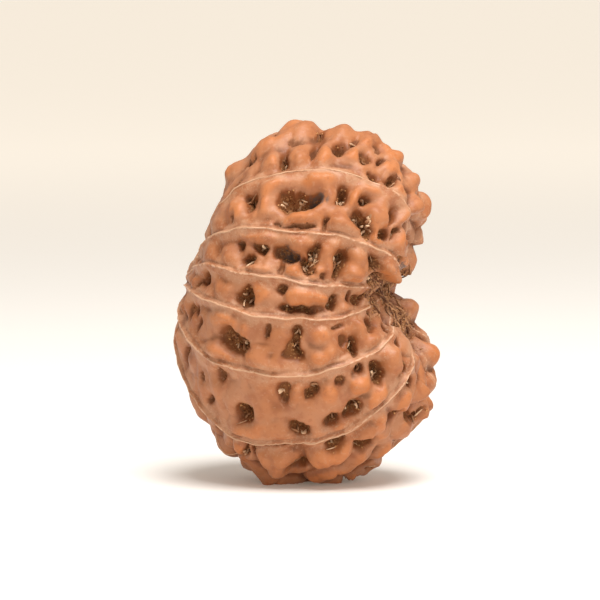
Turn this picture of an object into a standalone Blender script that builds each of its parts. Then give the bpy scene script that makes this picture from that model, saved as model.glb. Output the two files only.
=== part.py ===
# Thirteen mukhi rudraksha bead: one grown stone, with a string hole along its axis.
# The values and functions work in millimetres, and the mesh is written in metres.
# The axis runs level, from the tip pole at the left to the stem pole at the right, which is
# turned a little to the front. The bead stands on end, with its long cross-section upright.
# A place on the surface is (mukhi, across, along). The mukhi are the thirteen fields between
# the seams, 0 to 12, counted down the front from the top one. Across runs from 0 at a field's
# upper seam to 1 at its lower one, and along from 0 at the stem pole to 1 at the tip pole.

import math

import bmesh
import bpy
import numpy as np
from mathutils import Vector, noise

# Driving dimensions, in millimetres
HALF_UP = 13.0              # axis to the top of the bead
HALF_DOWN = 13.8            # axis to the underside
HALF_FRONT = 9.35           # axis to the front
HALF_BACK = 9.15            # axis to the back
STEM_POLE = 6.1             # centre to the bottom of the dimple at the stem
STEM_SHOULDER = 8.8         # centre to the shoulders round the dimple, on average
STEM_LOBE = 2.0             # how much further the upper and lower shoulders stand out
STEM_SLANT = -0.6           # more at the top than at the underside when above 0
TIP_POLE = 8.8              # centre to the tip
TIP_SHOULDER = 8.5          # centre to the shoulders round the tip
TIP_SLANT = -1.6
POLE_LIFT = 1.1             # both poles lie above the middle of the height
HOLE_RADIUS = 1.05          # string hole
SEAM_HEIGHT = 0.14          # raised thread of each seam
SEAM_WIDTH = 0.42
LEDGE_HEIGHT = 0.14         # smooth rise that carries the thread
LEDGE_WIDTH = 0.6
SEAM_START = 0.1            # nearer the stem the seams are lost between the knobs
SEAM_FADE = 0.12
FLAT_CUT = 0.35             # taken off the underside, so that the bead stands
FLAT_CALM = 2.6             # no relief within this distance of the middle of the flat spot

# Form
AXIS_YAW = math.radians(13.5)
DIMPLE_WIDTH = 0.34         # as the sine of the angle from the pole
TIP_WIDTH = 0.2
LOBE_POWER = 5.0
ROUND_UP = 0.95             # below 1 the section along the axis is squarer, above the axis
ROUND_DOWN = 1.04           # below the axis
ROUND_LENGTH = 0.88

# Angles of the seams round the axis at the stem, the middle and the tip, in degrees above the front
SEAMS = [(103, 100, 97), (66, 59, 51), (33, 35.5, 38), (8.5, 15, 24), (-8.5, -2, 4),
         (-30, -30, -30), (-50, -57, -59), (-66, -74, -80), (-100, -104, -106),
         (-132, -134, -137), (-164, -166, -166), (-197, -198, -196), (-233, -232, -229)]
SEAM_SWAY = 0.35            # how far the seams wander, in degrees
MUKHI = len(SEAMS)

# Hollows on the side that is seen: mukhi, across, along, length, width, depth, turn in degrees.
# The length runs from the stem to the tip where the turn is 0, and down the front at 90.
HOLLOWS = [
    (0, .71, .64, .9, .6, .65, 0), (0, .91, .69, 1.3, .55, .6, 20), (0, .85, .51, 1.3, .6, 1.1, 88),
    (0, .69, .405, 1.3, 1.0, 1.2, 70), (0, .69, .345, 1.1, .8, 1.0, 65), (0, .62, .3, 1.0, .5, .9, 75),
    (0, .9, .308, .8, .7, .85, 0), (0, .79, .255, 1.5, .7, .6, 70), (0, .45, .462, 1.7, .5, .6, 90),
    (0, .62, .5, 1.8, .5, .35, 0), (0, .78, .46, 1.5, .5, .5, 85), (0, .46, .56, .8, .5, .4, 60),
    (0, .77, .2, 1.2, .6, .6, 60), (0, .5, .385, 1.3, .5, .45, 80), (0, .45, .325, 1.3, .5, .5, 85),
    (1, .45, .6, 1.6, 1.1, 1.0, 70), (1, .45, .495, 1.3, 1.7, .95, 0), (1, .54, .46, 2.6, 1.1, 1.0, 0),
    (1, .48, .43, 1.3, 1.2, .85, 0), (1, .34, .377, 1.7, .85, 1.0, 85), (1, .3, .318, 1.2, .85, .95, 40),
    (1, .4, .225, 1.3, .8, .95, 80), (1, .72, .298, 2.6, 1.0, 1.1, -45), (1, .74, .235, 1.3, .8, .8, 20),
    (1, .9, .505, .8, .4, .35, 60), (1, .95, .14, 1.0, .7, .6, 0), (1, .5, .15, 1.4, .5, .6, 80),
    (1, .63, .66, .9, .5, .25, 60), (1, .9, .46, 3.2, .5, .4, 0), (1, .82, .395, .9, .5, .4, 60),
    (1, .6, .19, 1.3, .5, .6, 70),
    (2, .35, .615, .8, .55, .5, 0), (2, .66, .575, 1.1, .9, .85, 0), (2, .4, .545, 1.2, .7, .8, 0),
    (2, .46, .483, 2.1, 1.15, .9, -10), (2, .82, .487, 1.6, .65, .4, 88), (2, .4, .405, 1.9, 1.15, .95, 80),
    (2, .66, .42, 1.7, .6, .7, -35), (2, .6, .318, 2.3, 1.0, 1.0, 82), (2, .36, .2, 1.4, .8, .7, -30),
    (2, .3, .33, .8, .5, .35, 60), (2, .85, .37, .8, .4, .35, 90), (2, .75, .15, 1.2, .7, .8, 70),
    (3, .42, .745, 1.1, 1.0, .9, 0), (3, .62, .575, 1.6, 1.45, .95, 60), (3, .28, .482, 1.2, .8, .45, 90),
    (3, .76, .435, 2.9, .75, .85, 0), (3, .6, .33, .7, .6, .5, 0), (3, .5, .31, 1.2, .7, .65, 60),
    (3, .38, .245, .9, .5, .4, 70), (3, .6, .2, 1.2, .8, .6, 0), (3, .3, .17, 1.0, .6, .6, 60),
    (4, .32, .77, .8, .6, .75, 0), (4, .5, .745, 1.5, .9, .4, 60), (4, .55, .602, 2.5, 1.35, .95, -28),
    (4, .26, .52, 1.6, .6, .35, 75), (4, .42, .445, 2.7, .75, .9, 82), (4, .55, .468, 1.6, .9, .65, 75),
    (4, .7, .288, 1.7, .65, .95, 82), (4, .5, .305, 1.2, .6, .35, 80), (4, .45, .2, 1.5, .7, .4, 0),
    (4, .1, .17, 1.0, .6, .5, 0), (4, .2, .31, .9, .45, .3, 30), (4, .75, .15, 1.2, .6, .6, 40),
    (5, .25, .66, 1.2, .9, .35, 60), (5, .75, .69, .9, .5, .5, 50), (5, .42, .72, .9, .7, .25, 0),
    (5, .61, .585, 1.6, 1.35, 1.0, 80), (5, .36, .49, 1.8, .95, .4, 90), (5, .72, .472, 2.0, 1.15, 1.0, -25),
    (5, .34, .432, 1.3, .85, .6, 85), (5, .28, .36, 1.2, .7, .4, 60), (5, .74, .403, 1.1, .75, .85, 10),
    (5, .6, .355, 1.9, 1.1, .95, 14), (5, .14, .297, 1.0, .8, .9, 60), (5, .46, .268, 2.1, 1.1, 1.05, 70),
    (5, .7, .2, 1.2, .7, .6, 60), (5, .25, .17, 1.2, .6, .7, 30),
    (6, .3, .2, 1.1, .9, .85, 60), (6, .32, .592, 1.6, .5, .8, 80), (6, .72, .63, 1.3, .6, .7, 60),
    (6, .66, .49, 1.5, 1.1, 1.0, 0), (6, .2, .425, 1.5, .9, 1.05, 0), (6, .6, .355, 1.7, 1.3, 1.0, 30),
    (6, .68, .27, 2.2, .4, .55, 10), (6, .4, .68, 1.2, .5, .5, 60), (6, .07, .52, 3.6, .5, .5, 0),
    (7, .15, .235, 1.5, 1.2, 1.0, 60), (7, .42, .49, 1.6, .9, .9, 90), (7, .3, .585, 1.2, .7, .7, 80),
    (7, .3, .4, 1.2, .6, .6, 60),
]

# Knobs and ridges there, in the same order, with the height in the depth's place
KNOBS = [
    (0, .42, .5, 2.4, 2.6, .8, 0), (0, .42, .425, 2.3, 2.4, .7, 0), (0, .35, .36, 2.4, 2.2, .85, 0),
    (0, .3, .295, 1.8, 1.8, .9, 0), (0, .84, .485, 1.5, 2.2, .6, 0), (0, .82, .435, 1.4, 2.2, .55, -5),
    (0, .85, .545, 1.3, 1.3, .45, 0), (0, .55, .59, 3.2, 1.7, .5, -10), (0, .74, .372, 1.4, 1.2, .6, 0),
    (0, .85, .33, 1.8, 1.0, .5, 0), (0, .6, .265, 1.9, 2.2, .65, 60), (0, .35, .2, 1.9, 1.8, .45, 0),
    (0, .45, .74, 1.6, 1.8, .5, 0), (0, .65, .155, 1.6, 1.5, .6, 0), (0, .88, .22, 1.8, 1.2, .5, 30),
    (0, .8, .61, 1.4, 1.2, .35, 0), (12, .6, .45, 2.2, 2.0, .5, 0), (12, .6, .55, 2.2, 2.0, .4, 0),
    (1, .2, .44, 2.6, 1.3, .5, 8), (1, .15, .52, 2.0, .9, .3, 0), (1, .33, .345, .9, 2.2, .6, -15),
    (1, .47, .265, 1.9, 1.6, .5, 0), (1, .8, .345, 2.9, 1.3, .8, -12), (1, .86, .255, 1.7, 1.2, .7, 60),
    (1, .2, .18, 2.2, 1.0, .5, 80), (1, .65, .16, 2.0, 1.2, .6, 80), (1, .76, .455, 2.8, 1.0, .65, 8),
    (1, .72, .545, 1.8, 1.1, .3, 0), (1, .45, .545, 1.1, 2.0, .35, 0), (1, .1, .31, 1.6, .9, .35, 0),
    (1, .55, .37, 1.4, .9, .25, 0), (1, .5, .655, 1.4, 1.8, .3, 0),
    (2, .86, .54, 1.7, 1.0, .5, 0), (2, .82, .457, 1.3, .9, .45, 0), (2, .2, .455, 2.4, .9, .5, 0),
    (2, .25, .365, 1.7, 1.4, .6, 0), (2, .72, .392, 1.1, 1.2, .5, 0), (2, .66, .345, .9, 1.5, .4, 0),
    (2, .72, .268, 1.7, 1.4, .85, 0), (2, .3, .275, 1.7, 1.3, .5, 0), (2, .2, .55, 3.0, .7, .3, 0),
    (2, .08, .12, 2.6, 2.2, 1.6, 30), (2, .5, .23, .8, 1.6, .4, 0), (2, .7, .64, 1.6, 1.0, .2, 0),
    (3, .4, .415, 2.6, 1.4, .55, 0), (3, .35, .535, 1.5, 1.5, .4, 0), (3, .4, .36, 1.1, 1.2, .4, 80),
    (3, .75, .27, 1.4, .8, .3, 0), (3, .3, .28, 1.0, .9, .3, 0), (3, .6, .66, 1.6, 1.2, .25, 0),
    (4, .75, .385, 2.2, 1.3, .55, 0), (4, .42, .25, 1.4, 1.5, .59, 0), (4, .82, .53, 3.4, 1.0, .45, 0),
    (4, .35, .375, 1.6, 1.6, .45, 0), (4, .25, .65, 2.6, 1.2, .39, 0), (4, .8, .65, 2.0, 1.0, .39, 0),
    (4, .8, .235, 1.5, .9, .52, 0), (4, .12, .44, 1.9, .6, .33, 0), (4, .3, .57, .8, 1.3, .33, 0),
    (5, .27, .46, 1.1, 1.2, .59, 0), (5, .4, .395, 1.2, 1.1, .59, 80), (5, .4, .325, 1.4, 1.4, .65, 60),
    (5, .4, .215, 2.0, 1.7, .65, 60), (5, .88, .385, 2.0, .5, .59, 0), (5, .42, .54, 1.6, 1.9, .36, 0),
    (5, .8, .29, 2.2, 1.0, .65, 30), (5, .15, .36, 1.6, .6, .39, 0), (5, .8, .53, 1.8, .9, .39, 0),
    (5, .5, .66, 1.2, 1.2, .39, 0), (5, .1, .215, 1.4, .9, .65, 0),
    (6, .52, .552, 2.3, 3.2, .95, 0), (6, .42, .465, 3.2, 1.2, .7, 0), (6, .82, .44, 3.0, 1.3, .65, 0),
    (6, .35, .375, 2.4, 1.0, .65, -25), (6, .36, .31, 1.1, 2.2, .6, 0), (6, .35, .65, 2.0, 1.6, .5, 0),
    (7, .05, .477, .9, 1.3, .6, 0), (7, .5, .56, 2.3, 2.0, .7, 0), (7, .5, .43, 3.2, 1.8, .7, 0),
    (5, .9, .5, 8.0, .9, .33, 0), (7, .25, .31, 2.6, 1.2, .5, 0), (8, .5, .13, 1.8, 2.0, .75, 0),
    (8, .05, .165, 1.6, 1.8, .75, 0), (7, .75, .2, 1.8, 1.8, .75, 0), (7, .3, .17, 1.6, 1.4, .5, 0),
    (11, .6, .06, 2.0, 1.8, .7, 0), (1, .45, .1, 2.0, 1.6, .75, 0), (11, .85, .115, 1.8, 1.6, .5, 0),
    (9, .7, .11, 1.3, 1.1, .6, 0), (9, .35, .17, 2.0, 1.7, .35, 0), (12, .63, .17, 1.9, 1.6, .35, 0),
    (6, .55, .24, 1.6, 1.2, .6, 0),
]

KNOB_GAIN = 1.15            # all knobs together
KNOB_SPREAD = 1.25
KNOB_TOP = 2.6              # the higher, the flatter their tops
KNOB_SIDE = 1.0             # the lower, the steeper their sides
HOLLOW_RIM = 1.1            # where a hollow's wall starts and how wide it is, as shares of the
HOLLOW_WALL = 0.6           # hollow's half size
BASIN = 0.7                 # round shoulders that lead down to a hollow, as a share of its depth
SHOULDER = 0.95             # how wide the shoulders are
SHOULDER_START = 0.75       # as a share of the hollow's half size
OVERLAP = 0.13              # how much of the lower one adds, where two knobs or shoulders meet
SEAM_CLEAR = 0.5            # knobs and hollows fade out this close to a seam
SEAM_BITE = 0.25            # but hollows keep this share of their depth
MOUTH = 0.07                # no relief round the hole's mouths, as the sine of the angle

# Relief that the photo doesn't show, placed by a rule with a fixed seed
SEED = 13
HIDDEN_FIRST = 7            # mukhi 7 to 12 face down, back and up behind the top
HIDDEN_START = 0.16         # where their relief starts along the axis
SEEN_REST = 0.8             # and where the seen mukhi carry on with it
HIDDEN_STEP = 0.062         # between one row of relief and the next
HIDDEN_END = 0.93
HOLLOW_LENGTH = (1.0, 2.8)
HOLLOW_WIDTH = (0.7, 1.2)
HOLLOW_DEPTH = (0.5, 1.1)
SECOND_HOLLOW = 0.45        # chance of a small one beside it
KNOB_LENGTH = (1.5, 2.5)
KNOB_WIDTH = (1.0, 1.7)
KNOB_HEIGHT = (0.12, 0.42)
UNDULATION = 0.15           # slow rise and fall of the whole surface
UNDULATION_SIZE = 2.6
LUMP = 0.95                 # rounded lumps between valleys, where the bead is rugged
LUMP_SIZE = 2.7
LUMP_LEVEL = 0.82           # share of the lumps that goes into the stone instead of out of it
CRUMPLE = 0.14
CRUMPLE_SIZE = 1.5
SEEN_ANGLE = 8.0            # the lumps are low within the spread of this angle, where the
SEEN_SPREAD = 84.0          # hollows and knobs above shape the surface instead
SEEN_FROM = 0.1             # and they fade between these two places along the axis
SEEN_TO = 0.22
SEEN_END = 0.9              # near the tip they rise again
SEEN_LUMP = 0.26
RIM_WARP = 0.22             # how far the rims of hollows wander
RIM_WARP_SIZE = 1.1

# Mesh
COLUMNS = 19                # for each mukhi
ROWS = 150                  # over the outside, pole to pole
BORE_ROWS = 14
SEAM_CROWDING = 0.6         # columns lie closer together beside a seam
SOFTENING = 9               # rounds of smoothing, before the mesh is thinned out
TRIANGLES = 11600

COLOUR = (0.42, 0.19, 0.105, 1.0)
ROUGHNESS = 0.55
MM = 0.001


def axes():
    """The axis towards the stem, and the directions towards the front and up."""
    axis = np.array([math.cos(AXIS_YAW), -math.sin(AXIS_YAW), 0.0])
    front = np.array([-math.sin(AXIS_YAW), -math.cos(AXIS_YAW), 0.0])
    return axis, front, np.array([0.0, 0.0, 1.0])


def seam_angle(number, polar):
    """Angle of one seam round the axis, where polar is 0 at the stem and pi at the tip."""
    stem, middle, tip = SEAMS[number % MUKHI]
    turns = number // MUKHI
    c = np.cos(polar)
    degrees = middle + (stem - tip) / 2 * c + ((stem + tip) / 2 - middle) * c * c - 360 * turns
    phase = number % MUKHI
    sway = 1.5 * np.sin(9 * polar + 2.1 * phase) + 0.6 * np.sin(23 * polar + 3.7 * phase)
    return np.radians(degrees + SEAM_SWAY * sway * np.sin(polar))


def form(polar, angle):
    """A point of the smooth bead, before its relief."""
    sine, cosine = np.abs(np.sin(polar)), np.cos(polar)
    facing, rising = np.cos(angle), np.sin(angle)
    half_height = np.where(rising > 0, HALF_UP, HALF_DOWN)
    half_depth = np.where(facing > 0, HALF_FRONT, HALF_BACK)
    section = 1 / np.sqrt((facing / half_depth) ** 2 + (rising / half_height) ** 2)
    rounding = ROUND_UP + (ROUND_DOWN - ROUND_UP) * (1 - rising) / 2
    radius = HOLE_RADIUS + (section - HOLE_RADIUS) * sine ** rounding
    lobe = 1 - 2 * np.abs(facing) ** LOBE_POWER
    stem_rim = STEM_SHOULDER + STEM_LOBE * lobe + STEM_SLANT * rising
    tip_rim = TIP_SHOULDER + TIP_SLANT * rising
    stem = STEM_POLE + (stem_rim - STEM_POLE) * (1 - np.exp(-(sine / DIMPLE_WIDTH) ** 2))
    tip = TIP_POLE + (tip_rim - TIP_POLE) * (1 - np.exp(-(sine / TIP_WIDTH) ** 2))
    reach = np.where(cosine > 0, stem, -tip) * np.abs(cosine) ** ROUND_LENGTH
    lift = POLE_LIFT * cosine ** 2
    axis, front, up = axes()
    return (axis * reach[..., None] + front * (radius * facing)[..., None]
            + up * (radius * rising + lift)[..., None])


def place(mukhi, across, along):
    """A point of the smooth bead, and its directions to the tip, across the mukhi and out."""
    def point(a, b):
        polar = np.array(b * math.pi)
        upper, lower = seam_angle(mukhi, polar), seam_angle(mukhi + 1, polar)
        return form(polar, upper + (lower - upper) * a)
    step = 0.002
    centre = point(across, along)
    tipward = point(across, along + step) - centre
    tipward /= np.linalg.norm(tipward)
    downward = point(across + step, along) - centre
    outward = np.cross(downward, tipward)
    outward /= np.linalg.norm(outward)
    return centre, tipward, np.cross(tipward, outward), outward


def hidden_relief():
    """Hollows and knobs where the photo shows none: the far mukhi, and all of them near the tip."""
    rng = np.random.default_rng(SEED)
    hollows, knobs = [], []
    for mukhi in range(MUKHI):
        along = (HIDDEN_START if mukhi >= HIDDEN_FIRST else SEEN_REST) + rng.uniform(0, HIDDEN_STEP)
        while along < HIDDEN_END:
            rugged = 1.25 - along                       # the stem side is the rougher one
            small = min(math.sin(math.pi * along) / 0.6, 1.0)
            across = 0.5 + rng.uniform(-0.22, 0.22)
            length, width = rng.uniform(*HOLLOW_LENGTH) * small, rng.uniform(*HOLLOW_WIDTH) * small
            turn = 90 + rng.uniform(-45, 45)
            hollows.append((mukhi, across, along, length, width, rng.uniform(*HOLLOW_DEPTH) * rugged, turn))
            if rng.random() < SECOND_HOLLOW:
                other = across + (0.34 if across < 0.5 else -0.34)
                hollows.append((mukhi, other, along + rng.uniform(-0.02, 0.03), rng.uniform(0.5, 1.1) * small,
                                rng.uniform(0.4, 0.8) * small, rng.uniform(0.3, 0.7), rng.uniform(0, 180)))
            beside = along + HIDDEN_STEP / 2
            for side in (rng.uniform(0.25, 0.5), rng.uniform(0.55, 0.8)):
                length, width = rng.uniform(*KNOB_LENGTH) * small, rng.uniform(*KNOB_WIDTH) * small
                height = rng.uniform(*KNOB_HEIGHT) * rugged
                knobs.append((mukhi, side, beside, length, width, height, rng.uniform(0, 180)))
            along += HIDDEN_STEP * rng.uniform(0.8, 1.35)
    return hollows, knobs


def local_distance(points, feature):
    """Distance from a feature's middle as a share of its half size: 1 on its rim."""
    mukhi, across, along, length, width, size, turn = feature
    centre, tipward, downward, outward = place(mukhi, across, along)
    offset = points - centre
    a, b, c = offset @ tipward, offset @ downward, offset @ outward
    t = math.radians(turn)
    u = (a * math.cos(t) + b * math.sin(t)) / (length / 2)
    v = (b * math.cos(t) - a * math.sin(t)) / (width / 2)
    behind = np.maximum(np.abs(c) - 1.5, 0.0)           # keeps off the far side of the dimple
    return np.sqrt(u * u + v * v + behind ** 2)


def noise_field(points, size, salt):
    """Smooth noise between about -1 and 1 at each point."""
    shift = Vector((salt * 17.3, salt * 5.1, salt * 9.7))
    return np.array([noise.noise(Vector(p) / size + shift) for p in points]) * 1.6


def lumps(points):
    """Rounded cells, 1 on their tops and 0 along the creases between them."""
    heights = np.empty(len(points))
    for number, point in enumerate(points):
        distances, _ = noise.voronoi(Vector(point) / LUMP_SIZE)
        heights[number] = distances[1] - distances[0]
    rise = np.clip(heights / 0.62, 0.0, 1.0)
    return rise ** 1.5 * (2.5 - 1.5 * rise)


def ruggedness(polar, angle):
    """How much the lumps count: fully on the sides that are shaped by rule."""
    away = (np.degrees(angle) - SEEN_ANGLE) / SEEN_SPREAD
    along = polar / math.pi
    step = np.clip((along - SEEN_FROM) / (SEEN_TO - SEEN_FROM), 0.0, 1.0)
    step = np.minimum(step, np.clip((SEEN_END - along) / 0.1, 0.0, 1.0))
    return 1 - (1 - SEEN_LUMP) * np.exp(-away ** 8) * step * step * (3 - 2 * step)


def relief(points, across_gap, polar, angle):
    """Height of the surface above the smooth bead at each point."""
    warp = np.stack([noise_field(points, RIM_WARP_SIZE, k) for k in (1, 2, 3)], axis=1) * RIM_WARP
    moved = points + warp
    hidden_hollows, hidden_knobs = hidden_relief()
    raised = np.zeros(len(points))
    for knob in KNOBS + hidden_knobs:
        q = np.minimum(local_distance(moved, knob) / KNOB_SPREAD, 1.0)
        dome = KNOB_GAIN * knob[5] * (1 - q ** KNOB_TOP) ** KNOB_SIDE
        raised = np.maximum(raised, dome) + OVERLAP * np.minimum(raised, dome)
    sunk = np.zeros(len(points))
    basin = np.zeros(len(points))
    for hollow in HOLLOWS + hidden_hollows:
        q = local_distance(moved, hollow)
        wall = np.clip((HOLLOW_RIM - q) / HOLLOW_WALL, 0.0, 1.0)
        sunk = np.maximum(sunk, hollow[5] * wall * wall * (3 - 2 * wall))
        half = min(hollow[3], hollow[4]) / 2
        away = np.clip((q - SHOULDER_START) * half / SHOULDER, 0.0, 1.0)
        dent = BASIN * hollow[5] * (1 - np.sqrt(1 - (1 - away) ** 2))
        basin = np.maximum(basin, dent) + OVERLAP * np.minimum(basin, dent)
    seam = SEAM_HEIGHT * np.exp(-(across_gap / (SEAM_WIDTH / 2)) ** 2)
    seam += LEDGE_HEIGHT * np.exp(-(across_gap / LEDGE_WIDTH) ** 2)
    shown = np.clip((polar / math.pi - SEAM_START) / SEAM_FADE, 0.0, 1.0)
    seam *= 0.25 + 0.75 * shown
    clear = 1 - np.exp(-(across_gap / SEAM_CLEAR) ** 2) * (0.3 + 0.7 * shown)
    rugged = ruggedness(polar, angle)
    slow = UNDULATION * noise_field(points, UNDULATION_SIZE, 4)
    slow += LUMP * rugged * (lumps(points + warp / 2) - LUMP_LEVEL)
    slow += CRUMPLE * noise_field(points, CRUMPLE_SIZE, 10)
    mouth = 1 - np.exp(-(np.sin(polar) / MOUTH) ** 2)
    from_flat = np.linalg.norm(points - np.array([0.0, 0.0, -HALF_DOWN]), axis=1)
    calm = 1 - np.exp(-(from_flat / FLAT_CALM) ** 4)
    bite = SEAM_BITE + (1 - SEAM_BITE) * clear
    return (seam + clear * (raised + slow - basin) - bite * sunk) * mouth * calm


def bead_points(columns, rows, bore_rows):
    """Points of the bead, as [column, row]: the outside from stem to tip, then back along the hole."""
    polar = np.linspace(0.0, math.pi, rows)
    share = np.arange(columns) / columns
    crowded = share - SEAM_CROWDING * np.sin(2 * math.pi * share) / (2 * math.pi)
    outside = np.empty((MUKHI * columns, rows, 3))
    angles = np.empty((MUKHI * columns, rows))
    for mukhi in range(MUKHI):
        upper, lower = seam_angle(mukhi, polar), seam_angle(mukhi + 1, polar)
        for number, across in enumerate(crowded):
            column = mukhi * columns + number
            angles[column] = upper + (lower - upper) * across
            outside[column] = form(polar, angles[column])
    around = np.roll(outside, -1, axis=0) - np.roll(outside, 1, axis=0)
    onward = np.gradient(outside, axis=1)
    outward = np.cross(onward, around)
    outward /= np.maximum(np.linalg.norm(outward, axis=2, keepdims=True), 1e-9)

    step = np.linalg.norm(np.roll(outside, -1, axis=0) - outside, axis=2).reshape(MUKHI, columns, rows)
    before = np.cumsum(step, axis=1) - step
    gap = np.minimum(before, step.sum(axis=1, keepdims=True) - before).reshape(-1)
    height = relief(outside.reshape(-1, 3), gap, np.tile(polar, MUKHI * columns), angles.ravel())
    outside += outward * height.reshape(outside.shape[:2])[..., None]

    ends = outside[:, -1], outside[:, 0]
    share = np.arange(1, bore_rows + 1) / (bore_rows + 1)
    bore = ends[0][:, None] + (ends[1] - ends[0])[:, None] * share[None, :, None]
    return np.concatenate([outside, bore], axis=1)


def bead_mesh(points):
    """A ring mesh, one loop of points for each column, moved to those points in metres."""
    columns, loop = points.shape[:2]
    bpy.ops.mesh.primitive_torus_add(major_segments=columns, minor_segments=loop,
                                     major_radius=0.006, minor_radius=0.003)
    bead = bpy.context.object
    bead.data.vertices.foreach_set("co", (points * MM).astype(np.float32).ravel())
    mesh = bmesh.new()
    mesh.from_mesh(bead.data)
    bmesh.ops.recalc_face_normals(mesh, faces=mesh.faces)
    mesh.to_mesh(bead.data)
    mesh.free()
    return bead


def thin_out(bead, triangles):
    """Fewer, larger triangles where the surface is plain."""
    quads = len(bead.data.polygons)
    soften = bead.modifiers.new("soften", 'SMOOTH')
    soften.factor = 0.5
    soften.iterations = SOFTENING
    thin = bead.modifiers.new("thin_out", 'DECIMATE')
    thin.ratio = triangles / (2 * quads)
    thin.use_collapse_triangulate = True
    graph = bpy.context.evaluated_depsgraph_get()
    mesh = bpy.data.meshes.new_from_object(bead.evaluated_get(graph))
    bead.modifiers.clear()
    bead.data = mesh


def stand_on_flat(bead):
    """Lower the bead to the surface and cut its lowest knobs level with it."""
    mesh = bmesh.new()
    mesh.from_mesh(bead.data)
    bmesh.ops.translate(mesh, verts=mesh.verts, vec=(0, 0, (HALF_DOWN - FLAT_CUT) * MM))
    everything = mesh.verts[:] + mesh.edges[:] + mesh.faces[:]
    cut = bmesh.ops.bisect_plane(mesh, geom=everything, dist=1e-7, plane_co=(0, 0, 0),
                                 plane_no=(0, 0, 1), clear_inner=True)
    rim = [item for item in cut["geom_cut"] if isinstance(item, bmesh.types.BMEdge)]
    bmesh.ops.holes_fill(mesh, edges=rim, sides=0)
    bmesh.ops.triangulate(mesh, faces=mesh.faces[:])
    mesh.to_mesh(bead.data)
    mesh.free()


def centre_over_origin(bead):
    """Middle of the bead's box over the origin."""
    corners = np.array([v.co[:] for v in bead.data.vertices])
    middle = (corners.min(axis=0) + corners.max(axis=0)) / 2
    for vertex in bead.data.vertices:
        vertex.co.x -= middle[0]
        vertex.co.y -= middle[1]


def shell_material():
    """Dried reddish-brown stone with a soft sheen."""
    material = bpy.data.materials.new("rudraksha_stone")
    material.use_nodes = True
    shader = material.node_tree.nodes["Principled BSDF"]
    shader.inputs["Base Color"].default_value = COLOUR
    shader.inputs["Roughness"].default_value = ROUGHNESS
    shader.inputs["Metallic"].default_value = 0.0
    return material


def build():
    for leftover in list(bpy.data.objects):
        bpy.data.objects.remove(leftover, do_unlink=True)
    bead = bead_mesh(bead_points(COLUMNS, ROWS, BORE_ROWS))
    thin_out(bead, TRIANGLES)
    stand_on_flat(bead)
    centre_over_origin(bead)
    bead.name = "rudraksha_bead"
    bead.data.name = "rudraksha_bead"
    bead.data.materials.clear()
    bead.data.materials.append(shell_material())
    bead.data.shade_smooth()
    bead.data.set_sharp_from_angle(angle=math.radians(60))
    parts = bpy.data.collections.new("thirteen_mukhi_rudraksha_bead")
    bpy.context.scene.collection.children.link(parts)
    for collection in list(bead.users_collection):
        collection.objects.unlink(bead)
    parts.objects.link(bead)


build()
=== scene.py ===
import math

import bpy
import numpy as np
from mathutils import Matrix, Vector, noise


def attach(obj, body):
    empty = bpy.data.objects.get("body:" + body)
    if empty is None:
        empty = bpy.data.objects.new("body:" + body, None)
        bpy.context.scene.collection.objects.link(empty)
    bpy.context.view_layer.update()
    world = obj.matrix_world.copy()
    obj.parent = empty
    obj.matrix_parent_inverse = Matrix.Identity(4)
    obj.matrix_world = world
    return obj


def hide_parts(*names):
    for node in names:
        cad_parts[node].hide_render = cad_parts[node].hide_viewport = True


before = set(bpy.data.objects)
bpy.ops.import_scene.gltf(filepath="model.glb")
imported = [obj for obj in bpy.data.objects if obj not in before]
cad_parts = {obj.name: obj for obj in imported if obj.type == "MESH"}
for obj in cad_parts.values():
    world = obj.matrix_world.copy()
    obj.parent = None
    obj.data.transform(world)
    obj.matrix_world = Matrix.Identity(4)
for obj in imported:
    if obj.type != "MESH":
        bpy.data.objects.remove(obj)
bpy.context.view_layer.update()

# Places on the bead are (mukhi, across, along): the field between two seams, counted down the front,
# then 0 to 1 from its upper seam to its lower one, then 0 at the stem pole to 1 at the tip pole.
# Sizes are in millimetres until a mesh is written, and turns are in degrees.
mm = 0.001

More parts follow.
